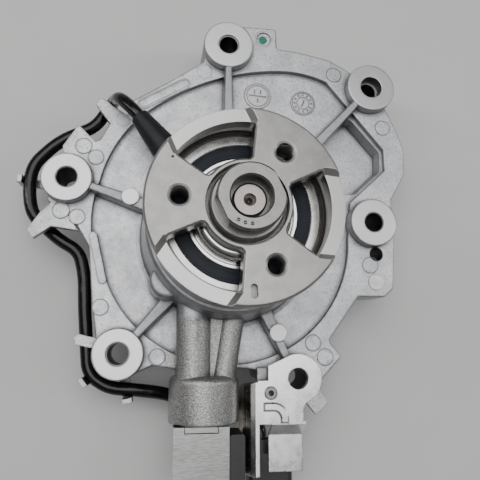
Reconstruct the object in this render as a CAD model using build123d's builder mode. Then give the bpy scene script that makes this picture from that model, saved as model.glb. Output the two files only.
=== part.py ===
from build123d import *

import os
from math import atan2, cos, degrees, hypot, radians, sin, tan

# Engine coolant pump with a switchable flow shroud.
# Frame: millimetres. Origin on the pump axis, in the mounting face that bolts to the engine.
# +Z runs along the pump axis towards the belt pulley, +Y towards the upper bolt boss.

# --- Driving dimensions: casting -----------------------------------------------------------------
casting_width = 180.0  # across the left hook and the right edge; the whole plan follows it
rim_top = 17.0  # height of the outer rim of the cover
rim_edge_round = 1.0
floor_top = 14.0  # height of the sunken floor inside the rim
floor_wall = 5.0  # thickness of that floor
rim_wall = 6.0  # width of the rim between the volute and the outside
pocket_floor = 6.5  # height of the bottom of the deep pocket
pocket_draft = 8.0  # degrees
boss_top = 22.0  # bolt-head seats of the six bosses
boss_edge_round = 0.7
bolt_hole_r = 4.5  # clearance for M8
rib_top = 21.4
rib_root_width = 7.4  # at the tower
rib_tip_width = 4.2  # at the boss
rib_edge_round = 0.9
hook_thickness = 3.4  # plates that reach over the lead
cradle_floor = 2.2  # arms that pass under the lead
cradle_top = 9.0

# --- Driving dimensions: tower, nose and their bores ----------------------------------------------
tower_top = 42.0
tower_foot_r = 40.0
tower_head_r = 37.0
tower_wall = 4.0
nose_top = 65.0
nose_r = 34.8
guide_tube_r = 20.0  # the shroud slides on this tube
guide_tube_foot = 10.0
main_bearing_r = 31.0
main_bearing_bore_r = 20.0
main_bearing_width = 19.0
main_bearing_foot = 44.0
main_ball_r = 3.4
main_ball_count = 17
main_row_offset = 4.2  # each row from the middle of the bearing
race_wall = 2.9  # of the inner race
outer_race_wall = 4.0
seal_lip_wall = 1.8  # the inner race is thinner where the seals run on it
groove_clearance = 0.08
lip_seal_width = 1.2
lip_seal_inset = 0.5
ring_thickness = 1.5
rear_bearing_r = 16.0
rear_bearing_width = 10.0
rear_bearing_foot = 27.0
rear_ball_r = 2.9
rear_ball_count = 9
rear_pitch_r = 11.2

# --- Driving dimensions: shaft seal ------------------------------------------------------------------
seal_cup_r = 15.0
seal_cup_low = 14.0
seal_cup_high = 23.5
seal_cup_wall = 1.0
carbon_face = 12.5  # height of the sliding face

# --- Driving dimensions: shaft line ----------------------------------------------------------------
shaft_r = 6.0
shaft_rise = 4.5  # above the carrier's lobes
carrier_r = 36.5
carrier_under = 70.0
carrier_thickness = 8.0
carrier_step = 2.5  # lobes stand this far above the rim segments
step_slope = 40.0  # degrees the step's wall leans from upright
lobe_edge_break = 0.9
window_inner_r = 16.6
window_outer_r = 31.4
window_span = 62.0  # degrees
window_edge_break = 0.7
rim_seat_inner_half = 28.0  # half angle of a rim segment at the window
rim_seat_outer_half = 23.6  # and at the outside
carrier_mouth_r = 15.0
carrier_web = 3.0
pulley_bolt_circle = 48.0
thread_core_r = 3.4  # M8
thread_mouth = (0.9, 0.45)  # countersink: widening, depth
thread_boss_r = 6.8
thread_boss_drop = 3.0
lobe_angles = (175.0, 55.0, -65.0)
balance_slot = (31.0, -86.0, 5.0, 2.6)  # radius, angle, length, width
collar_r = 12.0
collar_flats = 21.5
collar_flats_angle = 25.0
collar_rise = 10.0  # above the carrier's lobes
collar_foot_r = 13.6
collar_foot_rise = 1.0
collar_mouth_r = 7.3
collar_mouth_floor_rise = 2.0
dimple_r = 0.7
dimple_angles = (-119, -104.5, -90)
spigot_r = 12.5
sleeve_bulge_r = 19.3  # polished shoulder of the hub sleeve
sleeve_bulge_top = 66.8

# --- Driving dimensions: impeller and flow shroud ----------------------------------------------------
impeller_r = 32.5
impeller_foot = -12.0
impeller_plate_top = 3.0
impeller_plate = 2.0
impeller_hub_r = 11.5
impeller_hub_top = 8.3
blade_count = 7
blade_thickness = 2.0
shroud_r = 35.2
shroud_wall = 1.4
shroud_foot = 1.5
shroud_length = 28.5
shroud_travel = 11.0
piston_seal_height = 2.5
spring_seat_r = 29.5
spring_seat_height = 1.2
spring_wire_r = 0.75
spring_coil_r = 27.0
spring_turns = 3.5
slide_clearance = 0.06
free_clearance = 0.4

# --- Driving dimensions: seals and dowels on the engine side -------------------------------------------
face_seal_width = 2.4
face_seal_depth = 1.8
dowel_r = 6.5
dowel_depth = 5.0

# --- Driving dimensions: solenoid valve --------------------------------------------------------------
valve_r = 15.2
valve_z = 18.5
valve_shoulder_round = 3.0
valve_place = (-10.5, -62.5)  # plan place of the cylinder's inner end
valve_length = 19.5
valve_bore_r = 9.0
valve_bore_depth = 18.0
wide_tube_r = 7.6
narrow_tube_r = 5.2
tube_z = 23.0
web_over_axis = 2.6  # the metal between the passages reaches this far above their axes
yoke_width = 23.0
yoke_length = 30.0
yoke_plate = 2.4
yoke_rise = 12.2
slot_length = 14.0
slot_width = 2.3
plunger_r = 4.0
plunger_travel = 2.5

# --- Driving dimensions: lead, bracket, connector -------------------------------------------------------
lead_d = 6.0
sensor_r = 5.5
boot_inner = 44.0  # distance of the boot's inner end from the pump axis
boot_inner_r = 7.0
boot_outer = 67.0
boot_outer_r = 4.1
boot_angle = 129.0
boot_z = 29.0
bracket_plate = 2.0
bracket_offset = 23.1  # from the valve's axis to the flange
bracket_lobe_r = 10.6
bracket_neck = 20.0  # width of the plate beside the flange
bracket_bend = 18.9  # the rest run away from the bolt, along -Y
bracket_step = 24.3
bracket_tail = 39.9
bracket_drop = 8.0
bead_width = 3.8
bead_height = 1.1
connector_size = (19.6, 17.0, 12.4)
connector_wall = 1.1
connector_radius = 2.4
connector_start = 32.9
lead_end_z = 9.2

os.makedirs("parts", exist_ok=True)

scale_xy = casting_width / 180.0
valve_x = valve_place[0] * scale_xy
valve_start_y = valve_place[1] * scale_xy
valve_end_y = valve_start_y - valve_length
lobe_top = carrier_under + carrier_thickness
rim_seat = lobe_top - carrier_step
shaft_top = lobe_top + shaft_rise
collar_top = lobe_top + collar_rise
collar_foot_top = lobe_top + collar_foot_rise
collar_mouth_floor = lobe_top + collar_mouth_floor_rise


def at(x, y):
    """A place in the casting's plan, which grows with its width."""
    return (x * scale_xy, y * scale_xy)


def polar(r, angle):
    return (r * cos(radians(angle)), r * sin(radians(angle)))


def save(part, label):
    part.label = label
    export_step(part, f"parts/{label}.step")


def ring(outer_r, inner_r, low, high):
    """A plain ring about the pump axis."""
    with BuildPart(mode=Mode.PRIVATE) as made:
        with BuildSketch(Plane.XY.offset(low)):
            Circle(outer_r)
            Circle(inner_r, mode=Mode.SUBTRACT)
        extrude(amount=high - low)
    return made.part


# Bolt bosses: x, y, outer radius, radius of the hole's mouth, depth of the mouth.
bosses = [
    (-0.5, 95.8, 12.2, 5.1, 1.0),
    (72.0, 78.0, 12.3, 5.6, 6.0),
    (70.0, 8.0, 11.5, 4.9, 0.6),
    (-73.4, 24.4, 11.2, 4.9, 0.6),
    (-47.7, -53.4, 11.0, 5.1, 1.0),
    (30.6, -64.1, 10.4, 4.9, 0.6),
]
BRACKET_BOSS = 5

# Corners of the rim, clockwise from the upper bolt boss.
rim_corners = [
    (-12.0, 101.0), (-4.6, 109.5), (24.6, 109.5), (24.8, 98.6), (37.2, 97.4), (52.0, 94.5),
    (62.4, 89.0), (81.5, 69.2), (86.8, 57.0), (90.0, 47.5), (89.6, 34.7), (81.5, 20.5),
    (82.6, 5.0), (80.2, -23.4), (75.5, -27.5), (62.3, -27.5), (47.4, -48.0), (53.3, -55.0),
    (42.8, -66.0), (36.0, -74.6), (23.0, -73.4),
    (16.0, -64.9), (12.8, -64.6), (12.6, -60.6), (4.0, -60.0), (-12.0, -62.5), (-32.8, -58.5),
    (-47.0, -65.0),
    (-57.5, -48.0), (-60.4, -30.0), (-62.8, -6.2), (-71.0, 7.0), (-82.0, 14.0), (-82.5, 31.0),
    (-70.5, 40.5), (-60.5, 44.8), (-56.4, 53.2), (-48.4, 58.0), (-46.1, 65.4), (-38.0, 70.7),
    (-24.0, 80.1), (-12.6, 88.4),
]

# Cast hooks that reach over the lead, and a stop beside the bracket: height of the top, corners.
hooks = [
    (rim_top, [(-56.8, 53.7), (-63.1, 62.4), (-62.3, 64.5), (-60.6, 65.6), (-47.0, 56.4), (-52.0, 50.0)]),
    (rim_top, [(-74.0, 31.0), (-77.0, 40.5), (-70.4, 51.4), (-59.0, 40.0)]),
    (rim_top, [(-78.0, 16.0), (-85.0, 8.5), (-90.0, 0.5), (-87.2, -3.0), (-79.6, 2.6), (-68.0, 1.0)]),
    (rim_top, [(-67.0, -46.5), (-65.2, -44.8), (-54.0, -47.5), (-54.0, -52.0), (-66.2, -49.4)]),
    (13.5, [(32.0, -70.0), (40.5, -66.0), (47.1, -75.9), (41.3, -81.0)]),
]

# Cradles under the lead, each an arm with an upright end outside the lead:
# place of the boss it starts from, direction of the arm, its reach, its width.
cradles = [
    (3, 174.0, 25.0, 3.6),
    (4, 219.0, 21.4, 4.4),
    (4, 280.5, 22.2, 4.4),
]
cradle_upright = 2.2

# Round ejector pads, level with the metal round them or proud of it: x, y, radius, top.
flush = rim_top + 0.25
pads = [
    (54.2, 86.0, 3.7, flush), (79.0, 58.5, 3.7, flush), (69.0, -12.2, 3.7, flush), (39.6, -48.8, 3.5, flush),
    (45.2, -55.2, 3.6, flush), (-67.5, 41.0, 3.6, flush), (-61.7, 35.8, 3.4, flush), (-50.1, 55.0, 3.2, flush),
    (-75.8, 9.9, 3.6, flush), (-68.6, 7.2, 3.4, flush), (-12.0, 82.8, 3.6, flush), (-56.4, -33.3, 3.4, flush),
    (-31.0, -54.8, 3.4, flush), (18.0, 103.1, 4.4, flush),
    (-45.0, 16.4, 4.0, rib_top + 0.6), (22.5, -44.3, 4.0, rib_top + 0.6),
    (15.0, 73.0, 6.6, floor_top + 0.4), (38.4, 70.6, 6.2, floor_top + 0.4),
]
ear_dish = (18.0, 103.1, 3.4, 0.9)  # blind spot face on the upper ear: x, y, radius, depth
ledge = (-58.6, -11.3, 24.0, 3.4, -76.0)  # raised ledge on the volute's edge: x, y, length, width, angle
lug = (4.4, 5.2, 21.4)  # cast lug beside the bracket: width, depth, top
tower_bulge = (-27.1, -22.4, 8.8, 33.0)  # metal over the oil passage: x, y, radius, top

boss_x, boss_y = at(*bosses[BRACKET_BOSS][:2])
flange_x = valve_x + bracket_offset
lug_place = (flange_x + 2.4, boss_y + 1.9)
plug_place = at(71.5, -20.4)
plug_r = 3.6
gallery_place = at(72.3, -6.8)
gallery_r = 3.4
dowel_bosses = (1, 4)


def rim_sketch():
    with BuildSketch(mode=Mode.PRIVATE) as made:
        with BuildLine():
            Polyline([at(x, y) for x, y in rim_corners], close=True)
        make_face()
        fillet(made.vertices(), 1.6)
    return made.sketch


def floor_sketch(shrink=0.0):
    """The sunken floor: a circle about the pump axis that opens into a passage at the top."""
    r = 58.5
    with BuildSketch(mode=Mode.PRIVATE) as made:
        with BuildLine():
            ThreePointArc(at(r, 0), at(0, -r), at(-54.0, -22.5))
            ThreePointArc(at(-54.0, -22.5), at(-62.2, 2.0), at(-59.6, 24.5))
            ThreePointArc(at(-59.6, 24.5), at(-52.6, 43.5), at(-38.8, 60.4))
            ThreePointArc(at(-38.8, 60.4), at(-6.0, 79.4), at(25.9, 86.2))
            ThreePointArc(at(25.9, 86.2), at(40.0, 85.2), at(50.2, 82.0))
            Polyline(at(50.2, 82.0), at(79.0, 46.9), at(79.1, 35.8), at(60.5, 18.6), at(r, 0))
        make_face()
        if shrink:
            offset(amount=-shrink)
    return made.sketch


def pocket_sketch(grow=0.0):
    with BuildSketch(mode=Mode.PRIVATE) as made:
        with BuildLine():
            Polyline(
                at(62.0, 63.4), at(77.0, 45.8), at(76.6, 36.6), at(63.6, 24.6), at(44.0, 24.0), at(42.0, 44.0),
                close=True,
            )
        make_face()
        fillet(made.vertices(), 2.0)
        if grow:
            offset(amount=grow)
    return made.sketch


def rib(boss):
    """A tapered web from the tower out to a boss, rounded along its top."""
    x, y = at(boss[0], boss[1])
    angle = degrees(atan2(y, x))
    reach = hypot(x, y) - boss[2] * 0.6
    with BuildPart(mode=Mode.PRIVATE) as made:
        for distance, width in ((tower_head_r - tower_wall, rib_root_width), (reach, rib_tip_width)):
            section_plane = Plane(
                origin=(*polar(distance, angle), floor_top - 1), x_dir=(*polar(1, angle + 90), 0),
                z_dir=(*polar(1, angle), 0),
            )
            with BuildSketch(section_plane) as section:
                Trapezoid(width, rib_top - floor_top + 1, 86, align=(Align.CENTER, Align.MIN))
                fillet(section.vertices().sort_by(Axis.Y)[-2:], rib_edge_round)
        loft(ruled=True)
    return made.part


def passage(start_x, end_x, r):
    """A round tube from inside the tower to the valve cylinder, leaning a little."""
    run = Vector(end_x - start_x, valve_start_y + tower_head_r - 8, 0)
    with BuildPart(mode=Mode.PRIVATE) as made:
        with BuildSketch(Plane(origin=(start_x, 8 - tower_head_r, tube_z), x_dir=(0, 0, 1), z_dir=run.normalized())):
            Circle(r)
        extrude(amount=run.length + 2)
    return made.part


def valve_cylinder():
    with BuildPart(mode=Mode.PRIVATE) as made:
        with BuildSketch(Plane(origin=(valve_x, valve_start_y, valve_z), x_dir=(1, 0, 0), z_dir=(0, -1, 0))):
            Circle(valve_r)
        extrude(amount=valve_length)
        ends = made.edges().filter_by(GeomType.CIRCLE).sort_by(Axis.Y)
        fillet(ends[-1], valve_shoulder_round)
        fillet(made.edges().filter_by(GeomType.CIRCLE).sort_by(Axis.Y)[0], boss_edge_round)
    return made.part


def face_seal_sketch(clear=0.0):
    """A band half-way across the rim, all round the volute."""
    middle = rim_wall / 2
    with BuildSketch(mode=Mode.PRIVATE) as made:
        add(floor_sketch(shrink=middle - face_seal_width / 2 + clear))
        add(floor_sketch(shrink=middle + face_seal_width / 2 - clear), mode=Mode.SUBTRACT)
    return made.sketch


# --- Cover casting ---------------------------------------------------------------------------------
with BuildPart() as housing:
    # Rim plate.
    with BuildSketch(Plane.XY):
        add(rim_sketch())
    extrude(amount=rim_top)
    fillet(housing.faces().sort_by(Axis.Z)[-1].edges(), rim_edge_round)
    # Hooks over the lead.
    for top, corners in hooks:
        with BuildSketch(Plane.XY.offset(top - hook_thickness)):
            with BuildLine():
                Polyline([at(x, y) for x, y in corners], close=True)
            make_face()
        extrude(amount=hook_thickness)
    # Cradles under the lead.
    for number, angle, reach, width in cradles:
        x, y = at(*bosses[number][:2])
        for height, low in ((cradle_floor, 0.0), (cradle_top, reach - cradle_upright)):
            with BuildSketch(Plane(origin=(x, y, 0), x_dir=(*polar(1, angle), 0), z_dir=(0, 0, 1))):
                with Locations(((low + reach) / 2, 0)):
                    Rectangle(reach - low, width)
            extrude(amount=height)
    # Sunken floor and deep pocket.
    with BuildSketch(Plane.XY.offset(floor_top)):
        add(floor_sketch())
    extrude(amount=boss_top, mode=Mode.SUBTRACT)
    with BuildSketch(Plane.XY.offset(pocket_floor)):
        add(pocket_sketch())
    extrude(amount=floor_top - pocket_floor + 1, taper=-pocket_draft, mode=Mode.SUBTRACT)
    # Ledge on the volute's edge, and the lug beside the bracket.
    x, y, length, width, angle = ledge
    with BuildSketch(Plane.XY.offset(floor_top - 1)):
        with Locations(Location((*at(x, y), 0), (0, 0, angle))):
            SlotOverall(length, width)
    extrude(amount=flush + 0.2 - floor_top + 1)
    width, depth, top = lug
    with BuildSketch(Plane.XY.offset(rim_top - 2)):
        with Locations(lug_place):
            Rectangle(width, depth)
    extrude(amount=top - rim_top + 2)
    # Bosses, with draft on their sides and a rounded edge.
    for x, y, r, mouth, depth in bosses:
        with BuildPart(mode=Mode.PRIVATE) as boss:
            with BuildSketch(Plane.XY):
                with Locations(at(x, y)):
                    Circle(r + 0.6)
            extrude(amount=boss_top, taper=1.5)
            fillet(boss.edges().filter_by(GeomType.CIRCLE).sort_by(Axis.Z)[-1], boss_edge_round)
        add(boss.part)
    for number in (0, 1, 3, 4, 5):
        add(rib(bosses[number]))
    # Ejector pads.
    for x, y, r, top in pads:
        with BuildSketch(Plane.XY.offset(floor_top - 3)):
            with Locations(at(x, y)):
                Circle(r)
        extrude(amount=top - floor_top + 3)
    x, y, r, depth = ear_dish
    with BuildSketch(Plane.XY.offset(flush - depth)):
        with Locations(at(x, y)):
            Circle(r)
    extrude(amount=depth + 1, taper=-20, mode=Mode.SUBTRACT)
    # Tower and bearing nose.
    with BuildSketch(Plane.XZ):
        with BuildLine():
            Polyline(
                (0, floor_top - 2), (tower_foot_r + 2.5, floor_top - 2), (tower_foot_r + 2.5, floor_top),
                (tower_foot_r + 0.7, floor_top + 0.7), (tower_foot_r, floor_top + 2.5),
                (tower_head_r + 0.2, tower_top - 1.4), (tower_head_r - 1.2, tower_top), (nose_r, tower_top),
                (nose_r, nose_top - 0.8), (nose_r - 0.8, nose_top), (0, nose_top), close=True,
            )
        make_face()
    revolve(axis=Axis.Z)
    # Bulge over the passage on the tower's lower left.
    x, y, r, top = tower_bulge
    with BuildPart(mode=Mode.PRIVATE) as bulge:
        with BuildSketch(Plane.XY.offset(floor_top - 1)):
            with Locations((x, y)):
                Circle(r)
        extrude(amount=top - floor_top + 1, taper=3)
        fillet(bulge.edges().filter_by(GeomType.CIRCLE).sort_by(Axis.Z)[-1], 2.4)
    add(bulge.part)
    # Socket on the tower for the sensor's boot.
    socket_plane = Plane(
        origin=(*polar(tower_head_r - 5, boot_angle), boot_z),
        z_dir=(cos(radians(boot_angle)), sin(radians(boot_angle)), 0),
    )
    with BuildSketch(socket_plane):
        Circle(sensor_r + 1.9)
    extrude(amount=boot_inner - tower_head_r + 4.7)
    # Control passages from the tower to the valve cylinder, with the metal between them.
    add(passage(valve_x - 5.0, valve_x - 5.0, wide_tube_r))
    add(passage(valve_x + 13.4, valve_x + 8.2, narrow_tube_r))
    with BuildSketch(Plane.XY.offset(floor_top - 1)):
        with BuildLine():
            Polyline((valve_x - 5, 8 - tower_head_r), (valve_x + 13.4, 8 - tower_head_r),
                     (valve_x + 8.2, valve_start_y - 2), (valve_x - 5, valve_start_y - 2), close=True)
        make_face()
    extrude(amount=tube_z + web_over_axis - floor_top + 1)
    add(valve_cylinder())
    # Web under the cylinder, tying it to the rim.
    with BuildSketch(Plane.XY.offset(4)):
        with Locations((valve_x, valve_start_y + 4.5)):
            Rectangle(24, 16)
    extrude(amount=valve_z - 6)
    # Volute chamber, open to the engine.
    with BuildSketch(Plane.XY):
        add(floor_sketch(shrink=rim_wall))
        add(pocket_sketch(grow=rim_wall - 1), mode=Mode.SUBTRACT)
    extrude(amount=floor_top - floor_wall, mode=Mode.SUBTRACT)
    # Bore of the shroud, with the guide tube left standing in it.
    with BuildSketch(Plane.XY):
        Circle(shroud_r + free_clearance)
        Circle(guide_tube_r, mode=Mode.SUBTRACT)
    extrude(amount=tower_top - tower_wall, mode=Mode.SUBTRACT)
    with BuildSketch(Plane.XY):
        Circle(guide_tube_r + 1)
    extrude(amount=guide_tube_foot, mode=Mode.SUBTRACT)
    # Bores of both bearings, the shaft seal and the clip ring.
    rear_top = rear_bearing_foot + rear_bearing_width
    main_top = main_bearing_foot + main_bearing_width
    with BuildSketch(Plane.XZ):
        with BuildLine():
            Polyline(
                (0, guide_tube_foot - 1), (seal_cup_r, guide_tube_foot - 1), (seal_cup_r, rear_bearing_foot - 3),
                (rear_bearing_r - 3, rear_bearing_foot - 3), (rear_bearing_r - 3, rear_bearing_foot),
                (rear_bearing_r, rear_bearing_foot), (rear_bearing_r, rear_top + 1),
                (rear_bearing_r - 2, rear_top + 1), (rear_bearing_r - 2, main_bearing_foot - 2.5),
                (main_bearing_r - 3, main_bearing_foot - 2.5), (main_bearing_r - 3, main_bearing_foot),
                (main_bearing_r, main_bearing_foot), (main_bearing_r, main_top),
                (main_bearing_r + 0.9, main_top), (main_bearing_r + 0.9, main_top + ring_thickness),
                (main_bearing_r, main_top + ring_thickness),
                (main_bearing_r, nose_top + 1), (0, nose_top + 1), close=True,
            )
        make_face()
    revolve(axis=Axis.Z, mode=Mode.SUBTRACT)
    # Sensor bore through the socket.
    with BuildSketch(socket_plane.offset(-3)):
        Circle(sensor_r)
    extrude(amount=20, mode=Mode.SUBTRACT)
    # Valve bore.
    with BuildSketch(Plane.XZ.offset(-valve_end_y - valve_bore_depth)):
        with Locations((valve_x, valve_z)):
            Circle(valve_bore_r)
    extrude(amount=valve_bore_depth + 1, mode=Mode.SUBTRACT)
    # Bolt holes, with a counterbored or broken mouth.
    for x, y, r, mouth, depth in bosses:
        with BuildSketch(Plane.XY):
            with Locations(at(x, y)):
                Circle(bolt_hole_r)
        extrude(amount=boss_top + 1, mode=Mode.SUBTRACT)
        with BuildSketch(Plane.XY.offset(boss_top - depth)):
            with Locations(at(x, y)):
                Circle(mouth)
        extrude(amount=depth + 1, mode=Mode.SUBTRACT)
    # Gallery hole and plug hole.
    with BuildSketch(Plane.XY):
        with Locations(gallery_place):
            Circle(gallery_r)
        with Locations(plug_place):
            Circle(plug_r)
    extrude(amount=boss_top, mode=Mode.SUBTRACT)
    # Groove of the face seal and recesses of the dowels.
    with BuildSketch(Plane.XY):
        add(face_seal_sketch())
    extrude(amount=face_seal_depth, mode=Mode.SUBTRACT)
    for number in dowel_bosses:
        with BuildSketch(Plane.XY):
            with Locations(at(*bosses[number][:2])):
                Circle(dowel_r)
        extrude(amount=dowel_depth, mode=Mode.SUBTRACT)
save(housing.part, "housing")

# --- Face seal, dowels, gallery plug ------------------------------------------------------------------
with BuildPart() as face_seal:
    with BuildSketch(Plane.XY):
        add(face_seal_sketch(clear=0.1))
    extrude(amount=face_seal_depth)
save(face_seal.part, "face_seal")

with BuildPart() as dowels:
    for number in dowel_bosses:
        with BuildSketch(Plane.XY.offset(-dowel_depth)):
            with Locations(at(*bosses[number][:2])):
                Circle(dowel_r)
                Circle(bolt_hole_r + 0.6, mode=Mode.SUBTRACT)
        extrude(amount=2 * dowel_depth)
save(dowels.part, "dowels")

with BuildPart() as gallery_plug:
    with BuildSketch(Plane.XY.offset(1)):
        with Locations(plug_place):
            Circle(plug_r)
    extrude(amount=rim_top + 0.3 - 1)
save(gallery_plug.part, "gallery_plug")

# --- Main bearing -------------------------------------------------------------------------------------
ball_pitch_r = (main_bearing_r + main_bearing_bore_r) / 2
main_middle = main_bearing_foot + main_bearing_width / 2
main_rows = [main_middle - main_row_offset, main_middle + main_row_offset]
lip_depth = lip_seal_inset + lip_seal_width + 0.1


def race(outer_r, inner_r, low, high, pitch_r, ball_r, heights, lip_r=None):
    """A bearing race with its ball tracks, and thinner ends where seals run on it."""
    with BuildPart() as made:
        with BuildSketch(Plane.XY.offset(low)):
            Circle(outer_r)
            Circle(inner_r, mode=Mode.SUBTRACT)
        extrude(amount=high - low)
        if lip_r:
            for start in (low, high - lip_depth):
                with BuildSketch(Plane.XY.offset(start)):
                    Circle(outer_r + 1)
                    Circle(lip_r, mode=Mode.SUBTRACT)
                extrude(amount=lip_depth, mode=Mode.SUBTRACT)
        chamfer(made.faces().sort_by(Axis.Z)[-1].edges() + made.faces().sort_by(Axis.Z)[0].edges(), 0.4)
        for z in heights:
            with BuildSketch(Plane.XZ):
                with Locations((pitch_r, z)):
                    Circle(ball_r + groove_clearance)
            revolve(axis=Axis.Z, mode=Mode.SUBTRACT)
    return made.part


seal_lip_r = main_bearing_bore_r + seal_lip_wall
save(race(main_bearing_r, main_bearing_r - outer_race_wall, main_bearing_foot, main_top,
          ball_pitch_r, main_ball_r, main_rows), "main_bearing_outer")
save(race(main_bearing_bore_r + race_wall, main_bearing_bore_r, main_bearing_foot, main_top,
          ball_pitch_r, main_ball_r, main_rows, seal_lip_r), "main_bearing_inner")

with BuildPart() as main_balls:
    for z in main_rows:
        with Locations(Plane.XY.offset(z)):
            with PolarLocations(ball_pitch_r, main_ball_count):
                Sphere(main_ball_r)
save(main_balls.part, "main_bearing_balls")

with BuildPart() as main_cage:
    with BuildSketch(Plane.XY.offset(main_middle - main_row_offset - 2)):
        Circle(ball_pitch_r + 0.8)
        Circle(ball_pitch_r - 0.8, mode=Mode.SUBTRACT)
    extrude(amount=2 * main_row_offset + 4)
    for z in main_rows:
        with Locations(Plane.XY.offset(z)):
            with PolarLocations(ball_pitch_r, main_ball_count):
                Sphere(main_ball_r + 0.1, mode=Mode.SUBTRACT)
save(main_cage.part, "main_bearing_cage")

seal_outer_r = main_bearing_r - outer_race_wall - 0.02
front_seal_low = main_top - lip_seal_inset - lip_seal_width
rear_seal_low = main_bearing_foot + lip_seal_inset
for label, low in (("main_bearing_front_seal", front_seal_low), ("main_bearing_rear_seal", rear_seal_low)):
    save(ring(seal_outer_r, seal_lip_r + 0.1, low, low + lip_seal_width), label)

with BuildPart() as retaining_ring:
    with BuildSketch(Plane.XY.offset(main_top)):
        Circle(main_bearing_r + 0.85)
        Circle(main_bearing_r - 1.3, mode=Mode.SUBTRACT)
        with Locations(Location((*polar(main_bearing_r, lobe_angles[1]), 0), (0, 0, lobe_angles[1]))):
            Rectangle(8, 6, mode=Mode.SUBTRACT)
    extrude(amount=ring_thickness - 0.05)
save(retaining_ring.part, "retaining_ring")

# --- Rear bearing -------------------------------------------------------------------------------------
rear_rows = [rear_bearing_foot + rear_bearing_width / 2]
save(race(rear_bearing_r, rear_bearing_r - 2.3, rear_bearing_foot, rear_top,
          rear_pitch_r, rear_ball_r, rear_rows), "rear_bearing_outer")
save(race(shaft_r + 2.6, shaft_r, rear_bearing_foot, rear_top,
          rear_pitch_r, rear_ball_r, rear_rows), "rear_bearing_inner")
with BuildPart() as rear_balls:
    with Locations(Plane.XY.offset(rear_rows[0])):
        with PolarLocations(rear_pitch_r, rear_ball_count):
            Sphere(rear_ball_r)
save(rear_balls.part, "rear_bearing_balls")

# --- Shaft seal ----------------------------------------------------------------------------------------
seal_cup_floor = seal_cup_high - seal_cup_wall
seal_cup_inner_r = seal_cup_r - seal_cup_wall
with BuildPart() as seal_cup:
    with BuildSketch(Plane.XZ):
        with BuildLine():
            Polyline((seal_cup_r, seal_cup_low), (seal_cup_r, seal_cup_high), (shaft_r + 2.2, seal_cup_high),
                     (shaft_r + 2.2, seal_cup_floor), (seal_cup_inner_r, seal_cup_floor),
                     (seal_cup_inner_r, seal_cup_low), close=True)
        make_face()
    revolve(axis=Axis.Z)
save(seal_cup.part, "seal_cup")
bellows_foot = carbon_face + 4.5
save(ring(seal_cup_inner_r - 0.1, shaft_r + 3.4, bellows_foot, seal_cup_floor - 0.1), "seal_bellows")
save(ring(shaft_r + 5.0, shaft_r + 1.4, carbon_face, bellows_foot - 0.1), "seal_carbon")
save(ring(shaft_r + 5.4, shaft_r, impeller_hub_top + 0.1, carbon_face - 0.05), "seal_seat")

# --- Shaft line ----------------------------------------------------------------------------------------
with BuildPart() as shaft:
    with BuildSketch(Plane.XY.offset(impeller_foot - 1)):
        Circle(shaft_r)
    extrude(amount=shaft_top - impeller_foot + 1)
    chamfer(shaft.edges().filter_by(GeomType.CIRCLE), 0.6)
    with BuildSketch(Plane.XZ):
        with BuildLine():
            Polyline((0, shaft_top - 3.2), (1.0, shaft_top - 2.2), (1.0, shaft_top - 1.4), (2.3, shaft_top), (0, shaft_top),
                     close=True)
        make_face()
    revolve(axis=Axis.Z, mode=Mode.SUBTRACT)
save(shaft.part, "shaft")

neck_r = window_inner_r - 1.0
with BuildPart() as sleeve:
    with BuildSketch(Plane.XZ):
        with BuildLine():
            Polyline((shaft_r, main_bearing_foot + 1), (main_bearing_bore_r, main_bearing_foot + 1),
                     (main_bearing_bore_r, main_top - 1.0), (sleeve_bulge_r, main_top - 1.0))
            ThreePointArc((sleeve_bulge_r, main_top - 1.0), (sleeve_bulge_r - 1.1, sleeve_bulge_top - 1.2),
                          (neck_r, sleeve_bulge_top))
            Polyline((neck_r, sleeve_bulge_top), (neck_r, carrier_under), (spigot_r, carrier_under),
                     (spigot_r, main_top + 2.0), (shaft_r, main_top + 2.0), (shaft_r, main_bearing_foot + 1))
        make_face()
    revolve(axis=Axis.Z)
save(sleeve.part, "hub_sleeve")

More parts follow.
